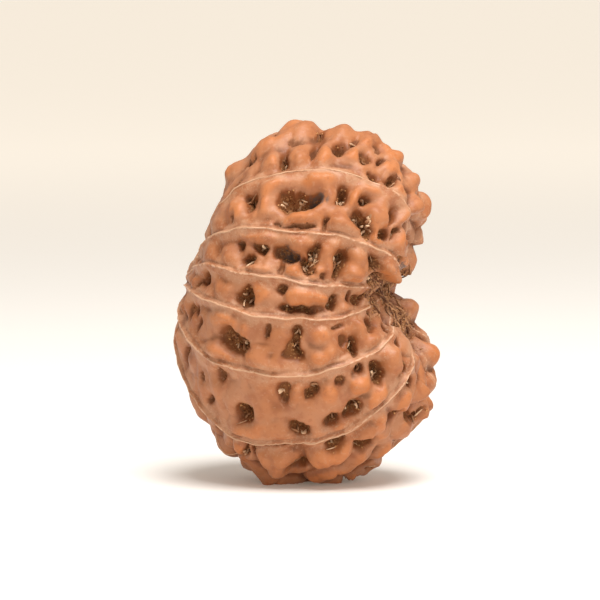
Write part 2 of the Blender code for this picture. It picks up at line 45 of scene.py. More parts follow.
beadStone = {
    # The smooth form, from the string hole's middle
    "halfUp": 13.0,
    "halfDown": 13.8,
    "halfFront": 9.35,
    "halfBack": 9.15,
    "stemPole": 6.1,            # how far the dimple's floor lies towards the stem end
    "stemShoulder": 8.8,
    "stemLobe": 2.0,            # what the upper and lower lobes reach past the shoulder
    "stemSlant": -0.6,
    "tipPole": 8.8,
    "tipShoulder": 8.5,
    "tipSlant": -1.6,
    "poleLift": 1.1,
    "holeRadius": 1.05,
    "yaw": 13.5,                # turn of the hole from the photograph's level line
    "dimpleWidth": 0.34,
    "tipWidth": 0.2,
    "lobePower": 5.0,
    "roundUp": 0.95,            # powers that round the shoulders, above and below the hole and along it
    "roundDown": 1.04,
    "roundLength": 0.88,
    "flatCut": 0.35,            # depth of the flat spot that the bead stands on
    "flatCalm": 1.6,            # no relief this near to it
    "mouthCalm": 0.07,          # nor at the hole's rims, in radians from the poles
    # Angles of the thirteen seams above the front, at the stem, the middle and the tip
    "seams": [(103, 100, 97), (66, 59, 51), (33, 35.5, 38), (8.5, 15, 24), (-8.5, -2, 4),
              (-30, -27.5, -28), (-50, -57, -59), (-66, -74, -80), (-100, -104, -106),
              (-132, -134, -137), (-164, -166, -166), (-197, -198, -196), (-233, -232, -229)],
    # How far each one stands clear of the knobs
    "seamStrength": [0.7, 0.8, 1.0, 1.0, 1.0, 1.0, 1.0, 0.15, 0.7, 0.9, 0.8, 1.0, 0.8],
    "seamSway": 0.35,
    "seamHeight": 0.06,
    "seamWidth": 0.2,
    "seamClear": 0.5,           # knobs and hollows fade out this near to a seam
    "seamStart": 0.1,           # nearer the stem the seams are lost between the knobs
    "seamFade": 0.12,
    "ledgeHeight": 0.12,        # the smooth rise that carries a seam
    "ledgeWidth": 0.4,
    "grooveDepth": 0.1,         # groove just above a seam
    "grooveAway": 0.26,
    "grooveWidth": 0.12,
    "knobGain": 1.25,
    "knobSpread": 1.25,
    "knobTop": 2.6,
    "knobPile": 0.12,           # share of the lower one added where two overlap
    "knobSoft": 3,              # rounds of smoothing, so that knobs grow out of the skin
    "wallStart": 1.1,           # where a hollow's wall starts, as a share of its rim
    "wallWidth": 0.6,
    "basin": 0.7,               # the soft dent round a hollow, as a share of its depth
    "basinStart": 0.75,
    "basinWidth": 0.95,
    "basinPile": 0.15,
    "crumple": 0.14,
    "crumpleSize": 1.5,
    "slow": 0.15,
    "slowSize": 2.6,
    "lump": 0.95,               # pillow-shaped lumps, where the photograph shows no smooth skin
    "lumpSize": 2.7,
    "lumpLevel": 0.85,
    "lumpEdge": 0.7,
    "lumpPower": 2.2,
    "fine": 0.05,
    "fineSize": 0.8,
    "warp": 0.22,
    "warpSize": 1.1,
    "rimWarp": 0.09,            # a finer wander, for ragged rims
    "rimWarpSize": 0.42,
    "crumb": 0.16,              # crumbly floors of the hollows, where they are this deep
    "crumbSize": 0.3,
    "crumbFrom": 0.25,
    "crumbTo": 0.55,
    "scarUp": 2.6,              # the fibrous scar round the stem hole
    "scarDown": 4.3,
    "scarWide": 3.3,
    "scarBack": 0.9,            # its middle lies this far behind the hole
    "scarEdge": 1.2,
    "scarFade": 0.5,
    "scarRagged": 0.22,
    "scarRaggedSize": 0.7,
    "scarFibre": 0.16,
    "scarFibreSize": 0.34,
    "scarStretch": 0.22,
    "seenAngle": 12.0,          # middle and half width of the side with smooth skin
    "seenSpread": 89.0,
    "seenFrom": 0.1,
    "seenTo": 0.22,
    "seenEnd": 0.9,
    "seenLump": 0.26,
    "stainReach": 1.5,
    "stainBare": 0.85,          # share of the litter that a stain keeps off
    "litterReach": 1.4,
    # Widths of the tones that follow a seam, and how far round the skin is averaged to find what is low
    "seamTone": 0.1,
    "nearSeamTone": 0.9,
    # painted shade: the groove above a seam, and the creases and valleys found with these rounds
    "aboveSeamTone": 0.14,
    "creaseRounds": 8,
    "valleyRounds": 90,
    # The mesh: columns for each mukhi, rows from pole to pole, and rows in the hole
    "columns": 30,
    "rows": 238,
    "boreRows": 14,
    "crowding": 0.6,            # columns lie closer together beside a seam
}
mukhiCount = len(beadStone["seams"])

# Knobs and hollows of the sides that the photograph doesn't show: ranges of length, width and depth
hiddenSides = {
    "seed": 13,
    "firstMukhi": 7,
    "step": 0.062,
    "end": 0.93,
    "hollow": ((1.0, 2.8), (0.7, 1.2), (0.5, 1.1)),
    "second": ((0.5, 1.1), (0.4, 0.8), (0.3, 0.7)),
    "secondShare": 0.45,        # how many hollows have a small one beside them
    "secondAway": 0.34,
    "knob": ((1.5, 2.5), (1.0, 1.7), (0.12, 0.42)),
}

# Hollows that the photograph shows: mukhi, across, along, length, width, depth, turn in degrees
seenHollows = [
    (0, .71, .64, .9, .6, .65, 0), (0, .91, .69, 1.3, .55, .6, 20), (0, .85, .51, 1.3, .6, 1.1, 88),
    (0, .69, .405, 1.3, 1.0, 1.2, 70), (0, .69, .345, 1.1, .8, 1.0, 65), (0, .62, .3, 1.0, .5, .9, 75),
    (0, .9, .308, .8, .7, .85, 0), (0, .79, .255, 1.5, .7, .6, 70), (0, .45, .462, 1.7, .5, .6, 90),
    (0, .62, .5, 1.8, .5, .35, 0), (0, .78, .46, 1.5, .5, .5, 85), (0, .46, .56, .8, .5, .4, 60),
    (0, .77, .2, 1.2, .6, .6, 60), (0, .5, .385, 1.3, .5, .45, 80), (0, .45, .325, 1.3, .5, .5, 85),
    (1, .45, .6, 1.6, 1.1, 1.0, 70), (1, .45, .495, 1.3, 1.7, .95, 0), (1, .47, .468, 2.8, 1.25, 1.0, 0),
    (1, .42, .44, 1.3, .9, .8, 0), (1, .34, .377, 1.7, .85, 1.0, 85), (1, .3, .318, 1.2, .85, .95, 40),
    (1, .4, .225, 1.3, .8, .95, 80), (1, .72, .298, 2.6, 1.0, 1.1, -45), (1, .74, .235, 1.3, .8, .8, 20),
    (1, .9, .505, .8, .4, .35, 60), (1, .95, .14, 1.0, .7, .6, 0), (1, .5, .15, 1.4, .5, .6, 80),
    (1, .63, .66, .9, .5, .25, 60), (1, .9, .46, 3.2, .5, .4, 0), (1, .82, .395, .9, .5, .4, 60),
    (1, .6, .19, 1.3, .5, .6, 70),
    (2, .35, .615, .8, .55, .5, 0), (2, .66, .575, 1.1, .9, .85, 0), (2, .4, .545, 1.2, .7, .8, 0),
    (2, .46, .483, 2.1, 1.15, .9, -10), (2, .82, .487, 1.6, .65, .4, 88), (2, .4, .405, 1.9, 1.15, .95, 80),
    (2, .66, .42, 1.7, .6, .7, -35), (2, .6, .318, 2.3, 1.0, 1.0, 82), (2, .36, .2, 1.4, .8, .7, -30),
    (2, .3, .33, .8, .5, .35, 60), (2, .85, .37, .8, .4, .35, 90), (2, .75, .15, 1.2, .7, .8, 70),
    (3, .42, .757, 1.3, 1.2, .9, 0), (3, .62, .58, 2.0, 1.8, .95, 60), (3, .28, .482, 1.2, .8, .45, 90),
    (3, .76, .435, 2.9, .75, .85, 0), (3, .6, .33, .7, .6, .5, 0), (3, .5, .31, 1.2, .7, .65, 60),
    (3, .38, .245, .9, .5, .4, 70), (3, .6, .2, 1.2, .8, .6, 0), (3, .3, .17, 1.0, .6, .6, 60),
    (4, .32, .77, .8, .6, .75, 0), (4, .5, .745, 1.5, .9, .4, 60), (4, .6, .61, 3.3, 1.7, .85, -18),
    (4, .26, .52, 1.6, .6, .35, 75), (4, .42, .445, 2.7, .95, .8, 82), (4, .58, .468, 1.8, 1.2, .5, 75),
    (4, .7, .288, 1.7, .65, .95, 82), (4, .5, .305, 1.2, .6, .35, 80), (4, .45, .2, 1.5, .7, .4, 0),
    (4, .1, .17, 1.0, .6, .5, 0), (4, .2, .31, .9, .45, .3, 30), (4, .75, .15, 1.2, .6, .6, 40),
    (5, .18, .65, 1.6, .8, .3, 75), (5, .75, .69, .9, .5, .5, 50), (5, .42, .72, .9, .7, .25, 0),
    (5, .65, .585, 1.6, 1.35, 1.0, 80), (5, .27, .49, 1.8, .95, .45, 90), (5, .82, .472, 2.0, 1.15, 1.0, -25),
    (5, .25, .432, 1.3, .85, .65, 85), (5, .22, .36, 1.2, .7, .4, 60), (5, .78, .403, 1.1, .75, .85, 10),
    (5, .76, .355, 1.9, 1.1, .95, 14), (5, .14, .297, 1.0, .8, .9, 60), (5, .46, .268, 2.1, 1.1, 1.05, 70),
    (5, .7, .2, 1.2, .7, .6, 60), (5, .25, .17, 1.2, .6, .7, 30),
    (6, .3, .2, 1.1, .9, .85, 60), (6, .32, .592, 1.6, .5, .8, 80), (6, .72, .63, 1.3, .6, .7, 60),
    (6, .64, .488, 1.7, 1.1, 1.2, 0), (6, .18, .408, 1.6, .9, 1.15, 0), (6, .76, .35, 1.8, 1.5, 1.15, 30),
    (6, .68, .27, 2.2, .4, .55, 10), (6, .4, .68, 1.2, .5, .5, 60), (6, .05, .5, 4.4, .45, .65, 0),
    (7, .0, .508, 1.0, 1.5, .8, 90), (6, .3, .565, 1.4, .4, .55, 85),
    (7, .15, .235, 1.5, 1.2, 1.0, 60), (7, .42, .49, 1.6, .9, .9, 90), (7, .3, .585, 1.2, .7, .7, 80),
    (7, .3, .4, 1.2, .6, .6, 60),
]

# Knobs and ridges, with the height in the depth's place
seenKnobs = [
    (0, .4, .505, 2.7, 3.0, .66, 0), (0, .4, .42, 2.6, 2.8, .62, 0), (0, .35, .355, 2.4, 2.4, .85, 0),
    (0, .3, .293, 1.9, 2.0, .9, 0), (0, .84, .485, 1.5, 2.2, .6, 0), (0, .82, .435, 1.4, 2.2, .55, -5),
    (0, .85, .545, 1.3, 1.3, .45, 0), (0, .55, .59, 3.2, 1.7, .5, -10), (0, .74, .372, 1.4, 1.2, .6, 0),
    (0, .85, .33, 1.8, 1.0, .5, 0), (0, .6, .265, 1.9, 2.2, .65, 60), (0, .35, .2, 1.9, 1.8, .45, 0),
    (0, .45, .74, 1.6, 1.8, .5, 0), (0, .65, .155, 1.6, 1.5, .6, 0), (0, .88, .22, 1.8, 1.2, .5, 30),
    (0, .8, .61, 1.4, 1.2, .35, 0), (12, .6, .45, 2.2, 2.0, .5, 0), (12, .6, .55, 2.2, 2.0, .4, 0),
    (1, .15, .435, 2.2, 1.1, .5, 8), (1, .15, .52, 2.0, .9, .3, 0), (1, .33, .345, .9, 2.2, .6, -15),
    (1, .47, .265, 1.9, 1.6, .5, 0), (1, .83, .345, 2.7, 1.0, .55, -14), (1, .86, .255, 1.7, 1.2, .7, 60),
    (1, .2, .18, 2.2, 1.0, .5, 80), (1, .65, .16, 2.0, 1.2, .6, 80), (1, .76, .455, 2.8, 1.0, .65, 8),
    (1, .72, .545, 1.8, 1.1, .3, 0), (1, .45, .545, 1.1, 2.0, .35, 0), (1, .1, .31, 1.6, .9, .35, 0),
    (1, .55, .37, 1.4, .9, .25, 0), (1, .5, .655, 1.4, 1.8, .3, 0),
    (2, .86, .54, 1.7, 1.0, .5, 0), (2, .82, .457, 1.3, .9, .45, 0), (2, .2, .455, 2.4, .9, .5, 0),
    (2, .25, .365, 1.7, 1.4, .6, 0), (2, .72, .392, 1.1, 1.2, .5, 0), (2, .66, .345, .9, 1.5, .4, 0),
    (2, .72, .268, 1.7, 1.4, .85, 0), (2, .3, .275, 1.7, 1.3, .5, 0), (2, .2, .55, 3.0, .7, .3, 0),
    (2, .08, .12, 2.6, 2.2, 1.6, 30), (2, .5, .23, .8, 1.6, .4, 0), (2, .7, .64, 1.6, 1.0, .2, 0),
    (3, .4, .415, 2.6, 1.4, .55, 0), (3, .35, .535, 1.5, 1.5, .4, 0), (3, .4, .36, 1.1, 1.2, .4, 80),
    (3, .75, .27, 1.4, .8, .3, 0), (3, .3, .28, 1.0, .9, .3, 0), (3, .6, .66, 1.6, 1.2, .25, 0),
    (4, .75, .385, 2.2, 1.3, .55, 0), (4, .42, .25, 1.4, 1.5, .59, 0), (4, .82, .53, 3.4, 1.0, .45, 0),
    (4, .35, .375, 1.6, 1.6, .45, 0), (4, .25, .65, 2.6, 1.2, .39, 0), (4, .8, .65, 2.0, 1.0, .39, 0),
    (4, .8, .235, 1.5, .9, .52, 0), (4, .12, .44, 1.9, .6, .33, 0), (4, .3, .57, .8, 1.3, .33, 0),
    (5, .22, .46, 1.1, 1.2, .59, 0), (5, .33, .395, 1.2, 1.1, .59, 80), (5, .4, .325, 1.4, 1.4, .65, 60),
    (5, .4, .215, 2.0, 1.7, .65, 60), (5, .88, .385, 2.0, .5, .59, 0), (5, .42, .54, 1.6, 1.9, .36, 0),
    (5, .8, .29, 2.2, 1.0, .65, 30), (5, .15, .36, 1.6, .6, .39, 0), (5, .8, .53, 1.8, .9, .39, 0),
    (5, .5, .66, 1.2, 1.2, .39, 0), (5, .1, .215, 1.4, .9, .65, 0),
    (6, .4, .515, 2.6, 2.8, 1.0, 0), (6, .5, .42, 3.3, 2.0, .95, 6), (6, .76, .478, .9, 1.0, .6, 0),
    (6, .42, .345, 1.7, 1.0, .6, -20), (6, .36, .3, 1.0, 2.2, .55, 0), (6, .25, .605, 1.2, 1.0, .5, 0),
    (6, .5, .597, 1.0, .8, .35, 0), (7, .1, .545, 1.6, 1.6, .6, 0),
    (7, .1, .445, 2.6, 1.5, .8, 0), (7, .5, .56, 2.0, 2.0, .35, 0), (7, .5, .43, 3.2, 1.8, .7, 0),
    (5, .9, .5, 8.0, .9, .33, 0), (7, .25, .31, 2.6, 1.2, .5, 0), (8, .5, .13, 2.0, 2.2, .55, 0),
    (8, .05, .165, 2.0, 2.0, .55, 0), (7, .75, .2, 1.8, 1.8, .75, 0), (7, .3, .17, 1.6, 1.4, .5, 0),
    (11, .6, .06, 2.0, 1.8, .7, 0), (1, .45, .1, 2.0, 1.6, .75, 0), (11, .85, .115, 1.8, 1.6, .2, 0),
    (9, .7, .11, 1.4, 1.3, .45, 0), (9, .35, .17, 2.0, 1.7, .35, 0), (12, .63, .17, 1.9, 1.6, .35, 0),
    (6, .55, .24, 1.6, 1.2, .6, 0),
]

# Blackish stains: mukhi, across, along, length, width, strength, turn
stains = [
    (1, .41, .434, 1.7, 1.2, 1.0, 0), (2, .45, .475, 2.2, 1.3, 1.0, -8), (1, .95, .11, 1.6, 1.2, .8, 0),
]

# Loose fibre and crumbs lying on the skin beside the scar, given in the same way
litterPatches = [
    (2, .45, .19, 1.2, 1.5, .8, 0), (2, .85, .13, 1.7, 1.5, .95, 0), (3, .5, .13, 1.9, 1.9, .95, 0),
    (4, .08, .12, 1.6, 1.5, .9, 0), (4, .2, .165, 1.4, .9, .7, 0),
]


def seamAngle(number, polar):
    stem, middle, tip = beadStone["seams"][number % mukhiCount]
    c = np.cos(polar)
    phase = number % mukhiCount
    sway = 1.5 * np.sin(9 * polar + 2.1 * phase) + 0.6 * np.sin(23 * polar + 3.7 * phase)
    degrees = middle + (stem - tip) / 2 * c + ((stem + tip) / 2 - middle) * c * c
    degrees = degrees + beadStone["seamSway"] * sway * np.sin(polar)
    return np.radians(degrees - 360 * (number // mukhiCount))


def beadAxes():
    yaw = math.radians(beadStone["yaw"])
    axis = np.array([math.cos(yaw), -math.sin(yaw), 0.0])
    front = np.array([-math.sin(yaw), -math.cos(yaw), 0.0])
    return axis, front, np.array([0.0, 0.0, 1.0])


# The kidney without its relief: polar runs from the stem to the tip, angle round the hole
def smoothForm(polar, angle):
    b = beadStone
    sine, cosine = np.abs(np.sin(polar)), np.cos(polar)
    facing, rising = np.cos(angle), np.sin(angle)
    halfHeight = np.where(rising > 0, b["halfUp"], b["halfDown"])
    halfDepth = np.where(facing > 0, b["halfFront"], b["halfBack"])
    section = 1 / np.sqrt((facing / halfDepth) ** 2 + (rising / halfHeight) ** 2)
    rounding = b["roundUp"] + (b["roundDown"] - b["roundUp"]) * (1 - rising) / 2
    radius = b["holeRadius"] + (section - b["holeRadius"]) * sine ** rounding
    lobe = 1 - 2 * np.abs(facing) ** b["lobePower"]
    stemRim = b["stemShoulder"] + b["stemLobe"] * lobe + b["stemSlant"] * rising
    tipRim = b["tipShoulder"] + b["tipSlant"] * rising
    stem = b["stemPole"] + (stemRim - b["stemPole"]) * (1 - np.exp(-(sine / b["dimpleWidth"]) ** 2))
    tip = b["tipPole"] + (tipRim - b["tipPole"]) * (1 - np.exp(-(sine / b["tipWidth"]) ** 2))
    reach = np.where(cosine > 0, stem, -tip) * np.abs(cosine) ** b["roundLength"]
    lift = b["poleLift"] * cosine ** 2
    axis, front, up = beadAxes()
    return (axis * reach[..., None] + front * (radius * facing)[..., None]
            + up * (radius * rising + lift)[..., None])


# A place's centre, and its directions towards the tip, down the field and outwards
def surfacePlace(mukhi, across, along):
    def point(a, b):
        polar = np.array(b * math.pi)
        upper, lower = seamAngle(mukhi, polar), seamAngle(mukhi + 1, polar)
        return smoothForm(polar, upper + (lower - upper) * a)

    step = 0.002
    centre = point(across, along)
    tipward = point(across, along + step) - centre
    tipward /= np.linalg.norm(tipward)
    outward = np.cross(point(across + step, along) - centre, tipward)
    outward /= np.linalg.norm(outward)
    return centre, tipward, np.cross(tipward, outward), outward


def hiddenRelief():
    rng = np.random.default_rng(hiddenSides["seed"])
    step = hiddenSides["step"]
    hollows, knobs = [], []
    for mukhi in range(mukhiCount):
        along = (0.16 if mukhi >= hiddenSides["firstMukhi"] else 0.8) + rng.uniform(0, step)
        while along < hiddenSides["end"]:
            rugged = 1.25 - along                       # deeper near the stem
            small = min(math.sin(math.pi * along) / 0.6, 1.0)
            lengths, widths, depths = hiddenSides["hollow"]
            across = 0.5 + rng.uniform(-0.22, 0.22)
            length, width = rng.uniform(*lengths) * small, rng.uniform(*widths) * small
            turn = 90 + rng.uniform(-45, 45)
            hollows.append((mukhi, across, along, length, width, rng.uniform(*depths) * rugged, turn))
            if rng.random() < hiddenSides["secondShare"]:
                lengths, widths, depths = hiddenSides["second"]
                other = across + hiddenSides["secondAway"] * (1 if across < 0.5 else -1)
                hollows.append((mukhi, other, along + rng.uniform(-0.02, 0.03), rng.uniform(*lengths) * small,
                                rng.uniform(*widths) * small, rng.uniform(*depths), rng.uniform(0, 180)))
            lengths, widths, heights = hiddenSides["knob"]
            for side in (rng.uniform(0.25, 0.5), rng.uniform(0.55, 0.8)):
                length, width = rng.uniform(*lengths) * small, rng.uniform(*widths) * small
                height = rng.uniform(*heights) * rugged
                knobs.append((mukhi, side, along + step / 2, length, width, height, rng.uniform(0, 180)))
            along += step * rng.uniform(0.8, 1.35)
    return hollows, knobs


# How far out each point lies from a feature's middle, where 1 is its rim
def shareOfRim(points, feature):
    mukhi, across, along, length, width, size, turn = feature
    centre, tipward, downward, outward = surfacePlace(mukhi, across, along)
    offset = points - centre
    a, b, c = offset @ tipward, offset @ downward, offset @ outward
    t = math.radians(turn)
    u = (a * math.cos(t) + b * math.sin(t)) / (length / 2)
    v = (b * math.cos(t) - a * math.sin(t)) / (width / 2)
    return np.sqrt(u * u + v * v + np.maximum(np.abs(c) - 1.5, 0.0) ** 2)


def noiseField(points, size, salt):
    shift = Vector((salt * 17.3, salt * 5.1, salt * 9.7))
    return np.array([noise.noise(Vector(p) / size + shift) for p in points]) * 1.6


def lumpField(points):
    heights = np.empty(len(points))
    for number, point in enumerate(points):
        distances, _ = noise.voronoi(Vector(point) / beadStone["lumpSize"])
        heights[number] = distances[1] - distances[0]
    rise = np.clip(heights / beadStone["lumpEdge"], 0.0, 1.0)
    return 1 - (1 - rise) ** beadStone["lumpPower"]


# Full on the sides with lumps, low on the smoother side that the photograph shows
def ruggedness(polar, angle):
    b = beadStone
    away = (np.degrees(angle) - b["seenAngle"]) / b["seenSpread"]
    along = polar / math.pi
    step = np.clip((along - b["seenFrom"]) / (b["seenTo"] - b["seenFrom"]), 0.0, 1.0)
    step = np.minimum(step, np.clip((b["seenEnd"] - along) / 0.1, 0.0, 1.0))
    return 1 - (1 - b["seenLump"]) * np.exp(-away ** 8) * step * step * (3 - 2 * step)


def scarMask(points, polar):
    b = beadStone
    axis, front, up = beadAxes()
    offset = points - smoothForm(np.array(0.0), np.array(0.0))
    rise = offset @ up
    tall = np.where(rise > 0, b["scarUp"], b["scarDown"])
    sideways = offset @ front + b["scarBack"]
    reach = np.sqrt((rise / tall) ** 2 + (sideways / b["scarWide"]) ** 2)
    ragged = b["scarRagged"] * noiseField(points * np.array([1.0, 1.0, 0.35]), b["scarRaggedSize"], 12)
    return np.clip((b["scarEdge"] + ragged - reach) / b["scarFade"], 0.0, 1.0) * (polar < 1.2)


def spread(field, rounds):
    for _ in range(rounds):
        field = (2 * field + np.roll(field, 1, axis=0) + np.roll(field, -1, axis=0)) / 4
        ends = np.concatenate([field[:, :1], field, field[:, -1:]], axis=1)
        field = (2 * field + ends[:, :-2] + ends[:, 2:]) / 4
    return field


def raisedKnobs(points, knobs, shape):
    b = beadStone
    raised = np.zeros(len(points))
    for knob in knobs:
        q = np.minimum(shareOfRim(points, knob) / b["knobSpread"], 1.0)
        dome = b["knobGain"] * knob[5] * (1 - q ** b["knobTop"])
        raised = np.maximum(raised, dome) + b["knobPile"] * np.minimum(raised, dome)
    return spread(raised.reshape(shape), b["knobSoft"]).ravel()


def sunkHollows(points, hollows):
    b = beadStone
    sunk, basin = np.zeros(len(points)), np.zeros(len(points))
    for hollow in hollows:
        q = shareOfRim(points, hollow)
        wall = np.clip((b["wallStart"] - q) / b["wallWidth"], 0.0, 1.0)
        sunk = np.maximum(sunk, hollow[5] * wall * wall * (3 - 2 * wall))
        reach = min(hollow[3], hollow[4]) / 2
        away = np.clip((q - b["basinStart"]) * reach / b["basinWidth"], 0.0, 1.0)
        dent = b["basin"] * hollow[5] * (1 - np.sqrt(1 - (1 - away) ** 2))
        basin = np.maximum(basin, dent) + b["basinPile"] * np.minimum(basin, dent)
    return sunk, basin


def patchMask(points, patches, reach):
    mask = np.zeros(len(points))
    for patch in patches:
        mask = np.maximum(mask, patch[5] * np.clip(reach - shareOfRim(points, patch), 0.0, 1.0))
    return mask


# Heights to add along the outward directions, and the masks that the materials and scatters read
def reliefHeights(points, gap, above, strength, polar, angle, shape):
    b = beadStone
    warp = np.stack([noiseField(points, b["warpSize"], k) for k in (1, 2, 3)], axis=1) * b["warp"]
    ragged = np.stack([noiseField(points, b["rimWarpSize"], k) for k in (6, 7, 8)], axis=1)
    hiddenHollows, hiddenKnobs = hiddenRelief()
    moved = points + warp
    raised = raisedKnobs(moved, seenKnobs + hiddenKnobs, shape)
    moved = moved + ragged * b["rimWarp"]
    sunk, basin = sunkHollows(moved, seenHollows + hiddenHollows)
    stained = patchMask(moved, stains, b["stainReach"])
    littered = patchMask(moved, litterPatches, b["litterReach"])

    line = b["seamHeight"] * np.exp(-(gap / (b["seamWidth"] / 2)) ** 2)
    line += b["ledgeHeight"] * np.exp(-(gap / b["ledgeWidth"]) ** 2)
    line -= b["grooveDepth"] * np.exp(-((above - b["grooveAway"]) / b["grooveWidth"]) ** 2)
    ends = np.clip((polar / math.pi - b["seamStart"]) / b["seamFade"], 0.0, 1.0)
    line *= (0.25 + 0.75 * ends) * strength
    clear = 1 - np.exp(-(gap / b["seamClear"]) ** 2) * (0.3 + 0.7 * ends) * strength

    slow = b["slow"] * noiseField(points, b["slowSize"], 4)
    slow += b["lump"] * ruggedness(polar, angle) * (lumpField(points + warp / 2) - b["lumpLevel"])
    slow += b["crumple"] * noiseField(points, b["crumpleSize"], 10)
    fine = b["fine"] * noiseField(points, b["fineSize"], 5)
    floor = np.clip((sunk - b["crumbFrom"]) / (b["crumbTo"] - b["crumbFrom"]), 0.0, 1.0)
    fine += b["crumb"] * floor * noiseField(points, b["crumbSize"], 9)
    scar = scarMask(points, polar)
    fibres = points * np.array([1.0, 1.0, b["scarStretch"]])
    fine += b["scarFibre"] * scar * noiseField(fibres, b["scarFibreSize"], 11)

    mouth = 1 - np.exp(-(np.sin(polar) / b["mouthCalm"]) ** 2)
    fromFlat = np.linalg.norm(points - np.array([0.0, 0.0, -b["halfDown"]]), axis=1)
    calm = 1 - np.exp(-(fromFlat / b["flatCalm"]) ** 4)
    height = (line + clear * (raised + slow - basin) - (0.25 + 0.75 * clear) * sunk + fine) * mouth * calm
    hollow = sunk * (0.25 + 0.75 * clear) * calm
    return height, {"hollow": hollow, "knob": raised * clear, "basin": basin * clear * calm, "stain": stained,
                    "fibrous": np.maximum(scar, littered),
                    "litter": hollow * (1 - b["stainBare"] * np.clip(stained, 0.0, 1.0))}


# A mesh closed both ways round, with faces outwards
def gridMesh(name, points):
    around, loop = points.shape[:2]
    c, r = np.meshgrid(np.arange(around), np.arange(loop), indexing="ij")
    cNext, rNext = (c + 1) % around, (r + 1) % loop
    corners = np.stack([c * loop + r, c * loop + rNext, cNext * loop + rNext, cNext * loop + r], axis=-1)
    mesh = bpy.data.meshes.new(name)
    mesh.vertices.add(around * loop)
    mesh.vertices.foreach_set("co", points.astype(np.float32).ravel())
    mesh.loops.add(corners.size)
    mesh.loops.foreach_set("vertex_index", corners.astype(np.int32).ravel())
    mesh.polygons.add(around * loop)
    mesh.polygons.foreach_set("loop_start", np.arange(0, corners.size, 4, dtype=np.int32))
    mesh.update(calc_edges=True)
    return mesh


def addObject(name, data):
    made = bpy.data.objects.new(name, data)
    bpy.context.scene.collection.objects.link(made)
    return made


def makeStone():
    b = beadStone
    columns, rows, boreRows = b["columns"], b["rows"], b["boreRows"]
    polar = np.linspace(0.0, math.pi, rows)
    share = np.arange(columns) / columns
    crowded = share - b["crowding"] * np.sin(2 * math.pi * share) / (2 * math.pi)
    outside = np.empty((mukhiCount * columns, rows, 3))
    angles = np.empty((mukhiCount * columns, rows))
    for mukhi in range(mukhiCount):
        upper, lower = seamAngle(mukhi, polar), seamAngle(mukhi + 1, polar)
        for number, across in enumerate(crowded):
            column = mukhi * columns + number
            angles[column] = upper + (lower - upper) * across
            outside[column] = smoothForm(polar, angles[column])
    sideways = np.roll(outside, -1, axis=0) - np.roll(outside, 1, axis=0)
    outward = np.cross(np.gradient(outside, axis=1), sideways)
    outward /= np.maximum(np.linalg.norm(outward, axis=2, keepdims=True), 1e-9)

    # Distances over the surface to the seam before and the seam after, and the nearer one's strength
    step = np.linalg.norm(np.roll(outside, -1, axis=0) - outside, axis=2).reshape(mukhiCount, columns, rows)
    before = np.cumsum(step, axis=1) - step
    above = step.sum(axis=1, keepdims=True) - before
    strengths = np.array(b["seamStrength"])[:, None, None]
    strength = np.where(before < above, strengths, np.roll(strengths, -1, axis=0)).reshape(-1)
    gap = np.minimum(before, above).reshape(-1)
    above = above.reshape(-1)

    height, masks = reliefHeights(outside.reshape(-1, 3), gap, above, strength,
                                  np.tile(polar, mukhiCount * columns), angles.ravel(), angles.shape)
    height = height.reshape(outside.shape[:2])
    masks["seam"] = np.exp(-(gap / b["seamTone"]) ** 2) * strength
    masks["nearSeam"] = np.exp(-(gap / b["nearSeamTone"]) ** 2) * strength
    # The groove above each seam, which the stone's material paints as shade
    masks["aboveSeam"] = np.exp(-((above - b["grooveAway"]) / b["aboveSeamTone"]) ** 2) * strength
    # How far the skin lies below its neighbours, close by and wider round: the stone's material paints both
    # as shade
    masks["crease"] = (spread(height, b["creaseRounds"]) - height).ravel()
    masks["valleyShade"] = (spread(height, b["valleyRounds"]) - height).ravel()
    outside = outside + outward * height[..., None]

    tipRing, stemRing = outside[:, -1], outside[:, 0]
    share = np.arange(1, boreRows + 1) / (boreRows + 1)
    bore = tipRing[:, None] + (stemRing - tipRing)[:, None] * share[None, :, None]
    points = np.concatenate([outside, bore], axis=1)
    points[..., 2] += b["halfDown"] - b["flatCut"]
    points[..., 2] = np.maximum(points[..., 2], 0.0)
    low, high = points.reshape(-1, 3).min(axis=0), points.reshape(-1, 3).max(axis=0)
    points[..., :2] -= (low[:2] + high[:2]) / 2

    mesh = gridMesh("beadStone", points * mm)
    for name, values in masks.items():
        whole = np.zeros(points.shape[:2], dtype=np.float32)
        whole[:, :rows] = values.reshape(-1, rows)
        if name in ("hollow", "litter"):
            whole[:, rows:] = 1.0                       # the hole takes the pits' tones, which are partly painted shade
        mesh.attributes.new(name, 'FLOAT', 'POINT').data.foreach_set("value", whole.ravel())
    mesh.shade_smooth()
    print("beadStone", len(mesh.polygons), "faces")
    return addObject("beadStone", mesh), points


# Links a socket to another one, or sets it
def feed(tree, socket, value):
    if hasattr(value, "is_output"):
        tree.links.new(value, socket)
    else:
        socket.default_value = (*value, 1.0) if socket.type == 'RGBA' else value


def node(tree, kind, place, inputs={}, **settings):
    made = tree.nodes.new(kind)
    made.location = place
    for key, value in settings.items():
        setattr(made, key, value)
    for key, value in inputs.items():
        feed(tree, made.inputs[key], value)
    return made


def calc(tree, kind, place, *values):
    return node(tree, "ShaderNodeMath", place, dict(enumerate(values)), operation=kind).outputs[0]


def scaled(tree, vector, factor, place):
    made = node(tree, "ShaderNodeVectorMath", place, {0: vector, "Scale": factor}, operation='SCALE')
    return made.outputs[0]


# Noise whose clouds have about this size in millimetres
def cloud(tree, where, size, place, distortion=0.0):
    inMetres = calc(tree, 'MULTIPLY', (place[0] - 400, place[1]), size, mm)
    scale = calc(tree, 'DIVIDE', (place[0] - 200, place[1]), 1.0, inMetres)
    return node(tree, "ShaderNodeTexNoise", place, {"Vector": where, "Scale": scale, "Detail": 3.0,
                                                    "Distortion": distortion}).outputs


